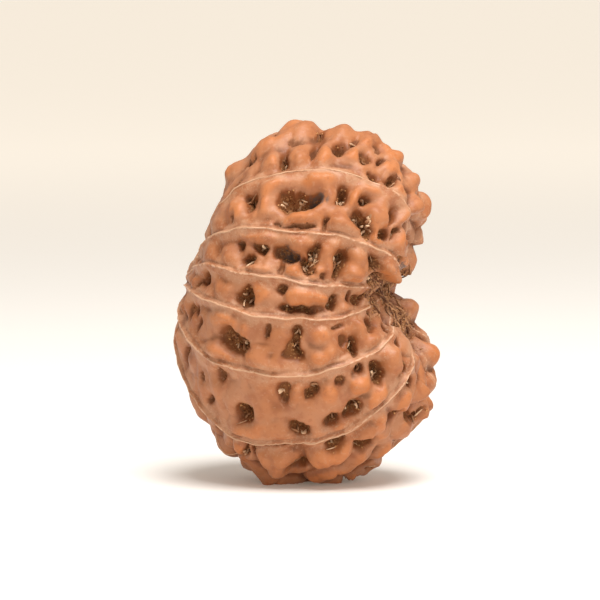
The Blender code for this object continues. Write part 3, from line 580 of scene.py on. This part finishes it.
def newGeometryTree(name, *sizes):
    tree = bpy.data.node_groups.new(name, 'GeometryNodeTree')
    tree.is_modifier = True
    kinds = {"Geometry": 'Geometry', "Mask": 'String', "Seed": 'Int', "Material": 'Material'}
    for key in ("Geometry", *sizes, "Material"):
        tree.interface.new_socket(key, in_out='INPUT', socket_type='NodeSocket' + kinds.get(key, 'Float'))
    tree.interface.new_socket("Geometry", in_out='OUTPUT', socket_type='NodeSocketGeometry')
    return tree, node(tree, "NodeGroupInput", (-1700, 0)).outputs


# Runs a tree on the host, and makes what comes out a plain mesh of its own
def runTree(host, tree, name, values, look):
    modifier = host.modifiers.new(name, 'NODES')
    modifier.node_group = tree
    for item in tree.interface.items_tree:
        if item.in_out == 'INPUT' and item.name != "Geometry":
            modifier[item.identifier] = look if item.name == "Material" else values[item.name]
    graph = bpy.context.evaluated_depsgraph_get()
    mesh = bpy.data.meshes.new_from_object(host.evaluated_get(graph))
    mesh.name = name
    host.modifiers.remove(modifier)
    print(name, len(mesh.polygons), "faces")
    return addObject(name, mesh)


def randomNode(tree, low, high, seed, salt, place, kind='FLOAT'):
    first, result = {'FLOAT': (2, 1), 'FLOAT_VECTOR': (0, 0), 'INT': (4, 2)}[kind]
    ownSeed = calc(tree, 'ADD', (place[0] - 200, place[1] - 120), seed, salt)
    return node(tree, "FunctionNodeRandomValue", place, {first: low, first + 1: high, "Seed": ownSeed},
                data_type=kind).outputs[result]


# Points on the stone's faces, where a mask of it is high
def pointsWhere(tree, given):
    mask = node(tree, "GeometryNodeInputNamedAttribute", (-1500, -300), {"Name": given["Mask"]},
                data_type='FLOAT').outputs["Attribute"]
    share = node(tree, "ShaderNodeMapRange", (-1300, -300),
                 {"Value": mask, "From Min": given["Mask from"], "From Max": given["Mask to"]},
                 interpolation_type='SMOOTHSTEP').outputs["Result"]
    perSquareMm = calc(tree, 'MULTIPLY', (-1100, -300), share, given["Per square mm"])
    density = calc(tree, 'MULTIPLY', (-900, -300), perSquareMm, 1 / mm ** 2)
    return node(tree, "GeometryNodeDistributePointsOnFaces", (-700, 0),
                {"Mesh": given["Geometry"], "Density": density, "Seed": given["Seed"]}).outputs


# A tube along each path, as thick as its profile times the path's radius
def tube(tree, path, profile, place):
    radius = node(tree, "GeometryNodeInputRadius", (place[0] - 150, place[1] - 100)).outputs[0]
    return node(tree, "GeometryNodeCurveToMesh", place,
                {"Curve": path, "Profile Curve": profile, "Scale": radius, "Fill Caps": True}).outputs[0]


# The end of every tree: one plain mesh in one material
def finishTree(tree, geometry, material):
    real = node(tree, "GeometryNodeRealizeInstances", (800, 0), {0: geometry})
    painted = node(tree, "GeometryNodeSetMaterial", (950, 0),
                   {"Geometry": real.outputs[0], "Material": material})
    smooth = node(tree, "GeometryNodeSetShadeSmooth", (1100, 0), {"Geometry": painted.outputs[0]})
    node(tree, "NodeGroupOutput", (1250, 0), {0: smooth.outputs[0]})


# Copies of shapes on the points, each with a shade of its own
def placeCopies(tree, given, inputs):
    placed = node(tree, "GeometryNodeInstanceOnPoints", (400, 0), inputs)
    shade = randomNode(tree, 0.0, 1.0, given["Seed"], 7, (400, -300))
    shaded = node(tree, "GeometryNodeStoreNamedAttribute", (600, 0),
                  {"Geometry": placed.outputs[0], "Name": "shade", "Value": shade},
                  data_type='FLOAT', domain='INSTANCE')
    finishTree(tree, shaded.outputs[0], given["Material"])


# Pulled fibres of dried flesh that lie in the pits and on the stem scar
pitStrands = {
    "Mask": "litter",
    "Mask from": 0.35,
    "Mask to": 0.7,
    "Per square mm": 2.6,
    "Shortest": 0.3,
    "Longest": 0.85,
    "Thinnest": 0.07,
    "Thickest": 0.19,
    "Lift": 0.15,
    "Tilt": 18.0,
    "Turn": 180.0,
    "Seed": 4,
    "dark": (0.3, 0.13, 0.055),
    "light": (0.88, 0.6, 0.37),
    "roughness": 0.65,
}
scarStrands = {
    "Mask": "fibrous",
    "Mask from": 0.35,
    "Mask to": 0.9,
    "Per square mm": 9.0,
    "Shortest": 0.2,
    "Longest": 0.75,
    "Thinnest": 0.05,
    "Thickest": 0.15,
    "Lift": 0.03,
    "Tilt": 6.0,
    "Turn": 60.0,
    "Seed": 9,
    "dark": (0.15, 0.055, 0.023),
    "light": (0.54, 0.27, 0.125),
    "roughness": 0.75,
}
strandBends = ((0.1, 2.2, 0.9), (-0.15, -0.9, 1.6), (0.25, -3.4, -0.5))


def strandTree():
    tree, given = newGeometryTree("strandScatter", "Mask", "Mask from", "Mask to", "Per square mm",
                                  "Shortest", "Longest", "Thinnest", "Thickest", "Lift", "Tilt", "Turn",
                                  "Seed")
    seed = given["Seed"]
    points = pointsWhere(tree, given)

    # Three bent shapes, one unit long and one unit thick, with thin ends
    shapes = node(tree, "GeometryNodeGeometryToInstance", (-100, -500))
    profile = node(tree, "GeometryNodeCurvePrimitiveCircle", (-900, -900), {"Resolution": 5, "Radius": 0.5})
    along = node(tree, "GeometryNodeSplineParameter", (-1100, -1100)).outputs["Factor"]
    wave = calc(tree, 'SINE', (-750, -1100), calc(tree, 'MULTIPLY', (-900, -1100), along, math.pi))
    thick = calc(tree, 'MULTIPLY_ADD', (-600, -1100), wave, 0.75, 0.25)
    for number, bend in enumerate(strandBends):
        y = -500 - 130 * number
        curve = node(tree, "GeometryNodeCurveQuadraticBezier", (-900, y),
                     {"Resolution": 5, "Start": (-0.5, 0, 0), "Middle": bend, "End": (0.5, 0.4, 0)})
        path = node(tree, "GeometryNodeSetCurveRadius", (-600, y),
                    {"Curve": curve.outputs[0], "Radius": thick})
        feed(tree, shapes.inputs[0], tube(tree, path.outputs[0], profile.outputs["Curve"], (-350, y)))

    # Each lies near the surface, turned up to Turn degrees from the upright and tilted up to Tilt
    lay = node(tree, "FunctionNodeAlignRotationToVector", (-500, 200),
               {"Rotation": points["Rotation"], "Vector": (0, 0, 1)}, axis='X', pivot_axis='Z')
    turned = node(tree, "ShaderNodeCombineXYZ", (-300, 350))
    for axis, name, salt in (("Y", "Tilt", 1), ("Z", "Turn", 2)):
        y = 300 + 100 * salt
        least = calc(tree, 'MULTIPLY', (-900, y), given[name], -math.pi / 180)
        most = calc(tree, 'MULTIPLY', (-900, y + 50), given[name], math.pi / 180)
        feed(tree, turned.inputs[axis], randomNode(tree, least, most, seed, salt, (-600, y)))
    spin = node(tree, "FunctionNodeEulerToRotation", (-100, 350), {0: turned.outputs[0]})
    rotated = node(tree, "FunctionNodeRotateRotation", (50, 250),
                   {"Rotation": lay.outputs[0], "Rotate By": spin.outputs[0]}, rotation_space='LOCAL')

    length = randomNode(tree, given["Shortest"], given["Longest"], seed, 3, (-200, 100))
    thickness = randomNode(tree, given["Thinnest"], given["Thickest"], seed, 4, (-200, -100))
    size = node(tree, "ShaderNodeCombineXYZ", (50, 50), {"X": length, "Y": thickness, "Z": thickness})
    rise = randomNode(tree, 0.0, given["Lift"], seed, 5, (-650, -150))
    offset = scaled(tree, points["Normal"], calc(tree, 'MULTIPLY', (-450, -150), rise, mm), (-300, -50))
    lifted = node(tree, "GeometryNodeSetPosition", (-100, 0),
                  {"Geometry": points["Points"], "Offset": offset})
    placeCopies(tree, given, {
        "Points": lifted.outputs[0], "Instance": shapes.outputs[0], "Pick Instance": True,
        "Instance Index": randomNode(tree, 0, 2, seed, 6, (200, -300), 'INT'),
        "Rotation": rotated.outputs[0], "Scale": scaled(tree, size.outputs[0], mm, (200, 50))})
    return tree


# Crumbs of dried flesh: rough grains, each squashed its own way
pitCrumbs = {
    "Mask": "litter",
    "Mask from": 0.2,
    "Mask to": 0.5,
    "Per square mm": 9.0,
    "Smallest": 0.08,
    "Largest": 0.26,
    "Seed": 2,
    "dark": (0.19, 0.07, 0.023),
    "light": (0.52, 0.25, 0.095),
    "roughness": 0.8,
}
scarCrumbs = {
    "Mask": "fibrous",
    "Mask from": 0.2,
    "Mask to": 0.7,
    "Per square mm": 12.0,
    "Smallest": 0.08,
    "Largest": 0.24,
    "Seed": 6,
}


def crumbTree():
    tree, given = newGeometryTree("crumbScatter", "Mask", "Mask from", "Mask to", "Per square mm", "Smallest",
                                  "Largest", "Seed")
    seed = given["Seed"]
    grain = node(tree, "GeometryNodeMeshIcoSphere", (-300, -300), {"Radius": 0.5, "Subdivisions": 1})
    turn = randomNode(tree, (0, 0, 0), (6.28, 6.28, 6.28), seed, 1, (-300, 300), 'FLOAT_VECTOR')
    spin = node(tree, "FunctionNodeEulerToRotation", (-100, 300), {0: turn})
    squash = randomNode(tree, (0.5, 0.5, 0.5), (1.2, 1.2, 1.2), seed, 2, (-300, 100), 'FLOAT_VECTOR')
    across = calc(tree, 'MULTIPLY', (-100, 0),
                  randomNode(tree, given["Smallest"], given["Largest"], seed, 3, (-300, -50)), mm)
    placeCopies(tree, given, {
        "Points": pointsWhere(tree, given)["Points"], "Instance": grain.outputs["Mesh"],
        "Rotation": spin.outputs[0], "Scale": scaled(tree, squash, across, (50, 100))})
    return tree


# The pale thread along each seam, wavering and thinned out in places
seamThreads = {
    "starts": [0.3, 0.34, 0.2, 0.23, 0.17, 0.17, 0.19, 0.64, 0.2, 0.17, 0.22, 0.17, 0.24],
    "end": 0.95,
    "Radius": 0.06,
    "Waver": 0.09,
    "Waver size": 0.9,
    "Thinning size": 2.6,
    "dark": (0.55, 0.32, 0.19),
    "light": (0.85, 0.6, 0.41),
    "roughness": 0.55,
}


def threadTree():
    tree, given = newGeometryTree("seamThread", "Radius", "Waver", "Waver size", "Thinning size")
    place = node(tree, "GeometryNodeInputPosition", (-1500, -300)).outputs[0]
    curve = node(tree, "GeometryNodeMeshToCurve", (-1200, 0), {0: given["Geometry"]})
    wander = node(tree, "ShaderNodeVectorMath", (-650, -300),
                  {0: cloud(tree, place, given["Waver size"], (-850, -300))["Color"], 1: (0.5, 0.5, 0.5)},
                  operation='SUBTRACT')
    reach = calc(tree, 'MULTIPLY', (-650, -500), given["Waver"], 2 * mm)
    offset = scaled(tree, wander.outputs[0], reach, (-450, -300))
    moved = node(tree, "GeometryNodeSetPosition", (-250, 0), {"Geometry": curve.outputs[0], "Offset": offset})
    thin = node(tree, "ShaderNodeMapRange", (-450, -700),
                {"Value": cloud(tree, place, given["Thinning size"], (-650, -700))["Fac"], "From Min": 0.4,
                 "From Max": 0.58, "To Min": 0.12, "To Max": 1.0}, interpolation_type='SMOOTHSTEP')
    path = node(tree, "GeometryNodeSetCurveRadius", (-50, 0),
                {"Curve": moved.outputs[0], "Radius": thin.outputs["Result"]})
    profile = node(tree, "GeometryNodeCurvePrimitiveCircle", (-50, -300),
                   {"Resolution": 6, "Radius": calc(tree, 'MULTIPLY', (-250, -400), given["Radius"], mm)})
    finishTree(tree, tube(tree, path.outputs[0], profile.outputs["Curve"], (150, 0)), given["Material"])
    return tree


def seamPaths(points):
    spots, edges = [], []
    for mukhi, start in enumerate(seamThreads["starts"]):
        first, last = int(beadStone["rows"] * start), int(beadStone["rows"] * seamThreads["end"])
        for row in range(first, last):
            if row > first:
                edges.append((len(spots) - 1, len(spots)))
            spots.append(tuple(points[mukhi * beadStone["columns"], row] * mm))
    paths = bpy.data.meshes.new("seamPaths")
    paths.from_pydata(spots, edges, [])
    return addObject("seamPaths", paths)


# Shader groups, built once and used by every material of the bead
def newShaderGroup(name, inputs, outputs):
    group = bpy.data.node_groups.new(name, 'ShaderNodeTree')
    for key, value in inputs.items():
        kind = 'Color' if isinstance(value, tuple) else 'Float'
        socket = group.interface.new_socket(key, in_out='INPUT', socket_type='NodeSocket' + kind)
        socket.default_value = (*value, 1.0) if kind == 'Color' else value
    for key, kind in outputs.items():
        group.interface.new_socket(key, in_out='OUTPUT', socket_type='NodeSocket' + kind)
    given, result = node(group, "NodeGroupInput", (-1400, 0)), node(group, "NodeGroupOutput", (400, 0))
    return group, given.outputs, result.inputs


# One tone laid over another, as far as a mask lies between two values
def layOverGroup():
    group, given, result = newShaderGroup(
        "layOver", {"Colour": (0.5, 0.5, 0.5), "Over": (0.5, 0.5, 0.5), "Mask": 0.0, "From": 0.0, "To": 1.0,
                    "Least": 0.0, "Most": 1.0}, {"Colour": 'Color'})
    share = node(group, "ShaderNodeMapRange", (-700, -100),
                 {"Value": given["Mask"], "From Min": given["From"], "From Max": given["To"],
                  "To Min": given["Least"], "To Max": given["Most"]}, interpolation_type='SMOOTHSTEP')
    blend = node(group, "ShaderNodeMix", (-300, 0), data_type='RGBA')
    feed(group, blend.inputs["Factor"], share.outputs["Result"])
    feed(group, blend.inputs[6], given["Colour"])       # the colour sockets come after those for numbers
    feed(group, blend.inputs[7], given["Over"])
    feed(group, result["Colour"], blend.outputs[2])
    return group


# Four sizes of mottling in millimetres, fixed to the object
def mottleGroup():
    sizes = {"Broad": 3.6, "Blotch": 1.1, "Speck": 0.34, "Grain": 0.16}
    group, given, result = newShaderGroup("mottle", {name + " size": size for name, size in sizes.items()},
                                          {name: 'Float' for name in sizes})
    place = node(group, "ShaderNodeTexCoord", (-1200, 300)).outputs["Object"]
    for number, name in enumerate(sizes):
        spots = cloud(group, place, given[name + " size"], (-500, -200 * number), 0.3)
        feed(group, result[name], spots["Fac"])
    return group


# Bump height of a grown surface: soft waves, specks and a fine grain
def grownSurfaceGroup():
    group, given, result = newShaderGroup(
        "grownSurface",
        {"Blotch": 0.5, "Speck": 0.5, "Grain": 0.5, "Waves": 1.0, "Specks": 0.5, "Fine": 0.25},
        {"Height": 'Float'})
    total = 0.0
    for number, (value, weight) in enumerate((("Blotch", "Waves"), ("Speck", "Specks"), ("Grain", "Fine"))):
        place = (-700 + 250 * number, -150 * number)
        total = calc(group, 'MULTIPLY_ADD', place, given[value], given[weight], total)
    feed(group, result["Height"], total)
    return group


# A material being laid up, coat by coat
class Finish:
    def __init__(self, name):
        self.material = bpy.data.materials.new(name)
        self.material.use_nodes = True
        self.tree = self.material.node_tree
        self.across = -2600
        self.colour = None

    def place(self, y=0):
        self.across += 180
        return self.across, y

    def group(self, tree, **values):
        return node(self.tree, "ShaderNodeGroup", self.place(), values, node_tree=tree).outputs

    def attribute(self, name):
        return node(self.tree, "ShaderNodeAttribute", self.place(-400), attribute_name=name).outputs["Fac"]

    def math(self, kind, first, second):
        return calc(self.tree, kind, self.place(-200), first, second)

    def ramp(self, source, low, high, least=0.0, most=1.0):
        return node(self.tree, "ShaderNodeMapRange", self.place(-200),
                    {"Value": source, "From Min": low, "From Max": high, "To Min": least, "To Max": most},
                    interpolation_type='SMOOTHSTEP').outputs["Result"]

    def blend(self, below, over, mask, low, high, least=0.0, most=1.0):
        return self.group(layOver, Colour=below, Over=over, Mask=mask, From=low, To=high, Least=least,
                          Most=most)["Colour"]

    def coat(self, mask, low, high, tone, most=1.0):
        self.colour = self.blend(self.colour, tone, mask, low, high, most=most)

    def finish(self, roughness, height, depth, specular):
        bump = node(self.tree, "ShaderNodeBump", self.place(-300), {"Distance": depth * mm, "Height": height})
        shader = self.tree.nodes["Principled BSDF"]
        for name, value in (("Base Color", self.colour), ("Roughness", roughness),
                            ("Normal", bump.outputs[0]), ("Specular IOR Level", specular)):
            feed(self.tree, shader.inputs[name], value)
        shader.location = self.place()
        self.tree.nodes["Material Output"].location = self.place()
        return self.material


skin = {
    "warm": (0.39, 0.142, 0.053),
    "dull": (0.4, 0.17, 0.08),
    "ruddy": (0.30, 0.098, 0.038),
    "dusty": (0.47, 0.25, 0.145),
    # painted highlight: the tops of the knobs, lighter and oranger
    "orangeHighlight": (0.5, 0.162, 0.044),
    # painted shade: the valleys and the dents round the hollows
    "valleyShade": (0.21, 0.062, 0.017),
    # painted shade: the creases and the groove above each seam
    "creaseShade": (0.15, 0.06, 0.026),
    # the pits' dark brown fill, partly painted shade, with the walls darker than the floors
    "pitWall": (0.23, 0.085, 0.026),
    "pitFloor": (0.3, 0.122, 0.042),
    "dust": (0.5, 0.31, 0.19),
    "crest": (0.7, 0.46, 0.3),
    "mould": (0.105, 0.074, 0.062),
    "scarDark": (0.17, 0.066, 0.025),
    "scarLight": (0.42, 0.2, 0.082),
    "bumpDepth": 0.05,
    "specular": 0.28,
}


def stoneMaterial():
    look = Finish("stoneSkin")
    spots = look.group(mottle)
    broad, blotch, speck, grain = (spots[name] for name in ("Broad", "Blotch", "Speck", "Grain"))
    hollow, knob, basin, stain, crease, valleyShade, seam, nearSeam, aboveSeam = (
        look.attribute(name) for name in ("hollow", "knob", "basin", "stain", "crease", "valleyShade", "seam",
                                          "nearSeam", "aboveSeam"))

    def both(first, second):
        return look.math('MULTIPLY', first, second)

    look.colour = look.blend(skin["warm"], skin["dull"], broad, 0.38, 0.62)
    look.coat(blotch, 0.46, 0.7, skin["ruddy"], 0.65)
    dusty = both(look.ramp(nearSeam, 0.1, 0.9), look.ramp(blotch, 0.62, 0.38, 0.2, 1.0))
    look.coat(dusty, 0.0, 1.0, skin["dusty"], 0.5)
    # Painted highlight: knob tops away from the valleys turn oranger, in broad patches
    top = look.math('SUBTRACT', both(knob, 0.35), valleyShade)
    orangeHighlight = both(look.ramp(top, 0.05, 0.55), look.ramp(broad, 0.42, 0.6, 0.15, 1.0))
    look.coat(orangeHighlight, 0.0, 1.0, skin["orangeHighlight"], 0.65)
    # Painted shade: darker where the skin lies below its surroundings, and in the dents round the hollows
    look.coat(valleyShade, 0.02, 0.27, skin["valleyShade"], 0.92)
    look.coat(basin, 0.15, 0.55, skin["valleyShade"], 0.6)
    # Painted shade in the groove above each seam, in patches, and in the creases
    look.coat(both(aboveSeam, look.ramp(blotch, 0.35, 0.6)), 0.1, 0.9, skin["creaseShade"], 0.42)
    look.coat(crease, 0.03, 0.2, skin["creaseShade"], 0.65)
    look.coat(speck, 0.56, 0.7, skin["dusty"], 0.3)
    look.coat(speck, 0.42, 0.3, skin["ruddy"], 0.4)
    dust = both(look.ramp(grain, 0.52, 0.66), look.ramp(nearSeam, 0.05, 0.7, 0.1, 1.0))
    look.coat(dust, 0.0, 1.0, skin["dust"], 0.3)
    # The pits' dark brown fill, partly painted shade
    look.coat(hollow, 0.18, 0.5, skin["pitWall"])
    look.coat(hollow, 0.5, 0.95, skin["pitFloor"])
    look.coat(both(look.ramp(grain, 0.5, 0.64), look.ramp(hollow, 0.2, 0.6)), 0.0, 1.0, skin["scarLight"])
    look.coat(both(seam, look.ramp(speck, 0.6, 0.4, 0.3, 1.0)), 0.3, 0.85, skin["crest"], 0.6)
    scarTone = look.blend(skin["scarDark"], skin["scarLight"], grain, 0.4, 0.62)
    look.coat(look.attribute("fibrous"), 0.15, 1.0, scarTone, 0.9)
    mould = both(look.ramp(stain, 0.15, 1.1, 0.0, 0.9), look.ramp(speck, 0.34, 0.6))
    look.coat(mould, 0.0, 1.0, skin["mould"])
    roughness = look.math('ADD', look.ramp(look.math('ADD', hollow, crease), 0.0, 0.4, 0.4, 0.8),
                          look.ramp(speck, 0.3, 0.7, 0.0, 0.14))
    height = look.group(grownSurface, Blotch=blotch, Speck=speck, Grain=grain)["Height"]
    return look.finish(roughness, height, skin["bumpDepth"], skin["specular"])


# Fibres, crumbs and threads: two tones, mixed by each one's own shade and by specks
def driedMaterial(name, tones):
    look = Finish(name)
    spots = look.group(mottle)
    mixture = look.math('ADD', look.attribute("shade"), look.math('MULTIPLY', spots["Speck"], 0.8))
    look.colour = look.blend(tones["dark"], tones["light"], mixture, 0.5, 1.45)
    look.coat(spots["Grain"], 0.5, 0.7, tones["dark"], 0.4)
    roughness = look.ramp(spots["Speck"], 0.3, 0.7, tones["roughness"] - 0.1, tones["roughness"] + 0.1)
    bumps = {name: spots[name] for name in ("Blotch", "Speck", "Grain")}
    return look.finish(roughness, look.group(grownSurface, **bumps)["Height"], depth=0.03, specular=0.3)


studio = {
    "floorSize": 16.0,          # this and the other sizes here are in metres
    "floorColour": (0.84, 0.81, 0.77),
    "floorGlow": (1.0, 0.87, 0.7),
    "glowNear": 0.12,
    "glowFar": 0.5,             # far behind and round the bead
    "glowFrom": 0.05,
    "glowTo": 0.5,
    "sky": (1.0, 0.96, 0.9),
    "skyStrength": 0.5,
    # Round lamps: place, size and power, each aimed at the bead's middle
    "lamps": {"keyLight": ((0.035, -0.08, 0.24), 0.17, 0.885), "fillLight": ((0.1, -0.22, 0.06), 0.2, 0.13)},
    "lampAim": (0, 0, 0.0135),
    "cameraDistance": 0.32,
    "cameraElevation": 5.0,
    "cameraAim": (-0.00051, 0.0, 0.0136),
    "lens": 257.3,
}


def makeFloor():
    bpy.ops.mesh.primitive_plane_add(size=studio["floorSize"], location=(0, 0, 0))
    floor = bpy.context.object
    floor.name = "paleFloor"
    paint = bpy.data.materials.new("palePaint")
    paint.use_nodes = True
    tree = paint.node_tree
    place = node(tree, "ShaderNodeTexCoord", (-900, 0)).outputs["Object"]
    away = node(tree, "ShaderNodeVectorMath", (-700, 0), {0: place}, operation='LENGTH').outputs["Value"]
    glow = node(tree, "ShaderNodeMapRange", (-500, 0),
                {"Value": away, "From Min": studio["glowFrom"], "From Max": studio["glowTo"],
                 "To Min": studio["glowNear"], "To Max": studio["glowFar"]}, interpolation_type='SMOOTHSTEP')
    shader = tree.nodes["Principled BSDF"]
    for name, value in (("Base Color", studio["floorColour"]), ("Roughness", 0.8),
                        ("Emission Color", studio["floorGlow"]),
                        ("Emission Strength", glow.outputs["Result"])):
        feed(tree, shader.inputs[name], value)
    floor.data.materials.append(paint)


def makeLight():
    world = bpy.data.worlds.new("softSky")
    bpy.context.scene.world = world
    world.use_nodes = True
    sky = world.node_tree.nodes["Background"]
    sky.inputs["Color"].default_value = (*studio["sky"], 1.0)
    sky.inputs["Strength"].default_value = studio["skyStrength"]
    for name, (place, size, power) in studio["lamps"].items():
        lamp = bpy.data.lights.new(name, 'AREA')
        lamp.shape = 'DISK'
        lamp.size = size
        lamp.energy = power
        holder = addObject(name, lamp)
        holder.location = place
        away = Vector(studio["lampAim"]) - Vector(place)
        holder.rotation_euler = away.to_track_quat('-Z', 'Y').to_euler()


def makeCamera():
    eye = addObject("photoCamera", bpy.data.cameras.new("photoCamera"))
    eye.data.sensor_width = 36
    eye.data.lens = studio["lens"]
    eye.data.clip_start = 0.01
    tilt = math.radians(studio["cameraElevation"])
    back = Vector((0, -math.cos(tilt), math.sin(tilt)))
    eye.location = Vector(studio["cameraAim"]) + back * studio["cameraDistance"]
    eye.rotation_euler = (-back).to_track_quat('-Z', 'Y').to_euler()
    bpy.context.scene.camera = eye
    bpy.context.scene.view_settings.view_transform = 'Standard'


print("setting up the floor, the light and the camera")
makeFloor()
makeLight()
makeCamera()

print("shaping the stone")
layOver, mottle, grownSurface = layOverGroup(), mottleGroup(), grownSurfaceGroup()
stone, stonePoints = makeStone()
stone.data.materials.append(stoneMaterial())
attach(stone, "root")
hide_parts("rudraksha_bead")

print("scattering strands and crumbs, and laying the seams' threads")
strands, crumbs = strandTree(), crumbTree()
crumbLook = driedMaterial("driedCrumb", pitCrumbs)
paths = seamPaths(stonePoints)
pieces = [
    runTree(stone, strands, "pitStrands", pitStrands, driedMaterial("pitFibre", pitStrands)),
    runTree(stone, strands, "scarStrands", scarStrands, driedMaterial("scarFibre", scarStrands)),
    runTree(stone, crumbs, "pitCrumbs", pitCrumbs, crumbLook),
    runTree(stone, crumbs, "scarCrumbs", scarCrumbs, crumbLook),
    runTree(paths, threadTree(), "seamThreads", seamThreads, driedMaterial("seamThread", seamThreads)),
]
bpy.data.objects.remove(paths)
for piece in pieces:
    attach(piece, "root")
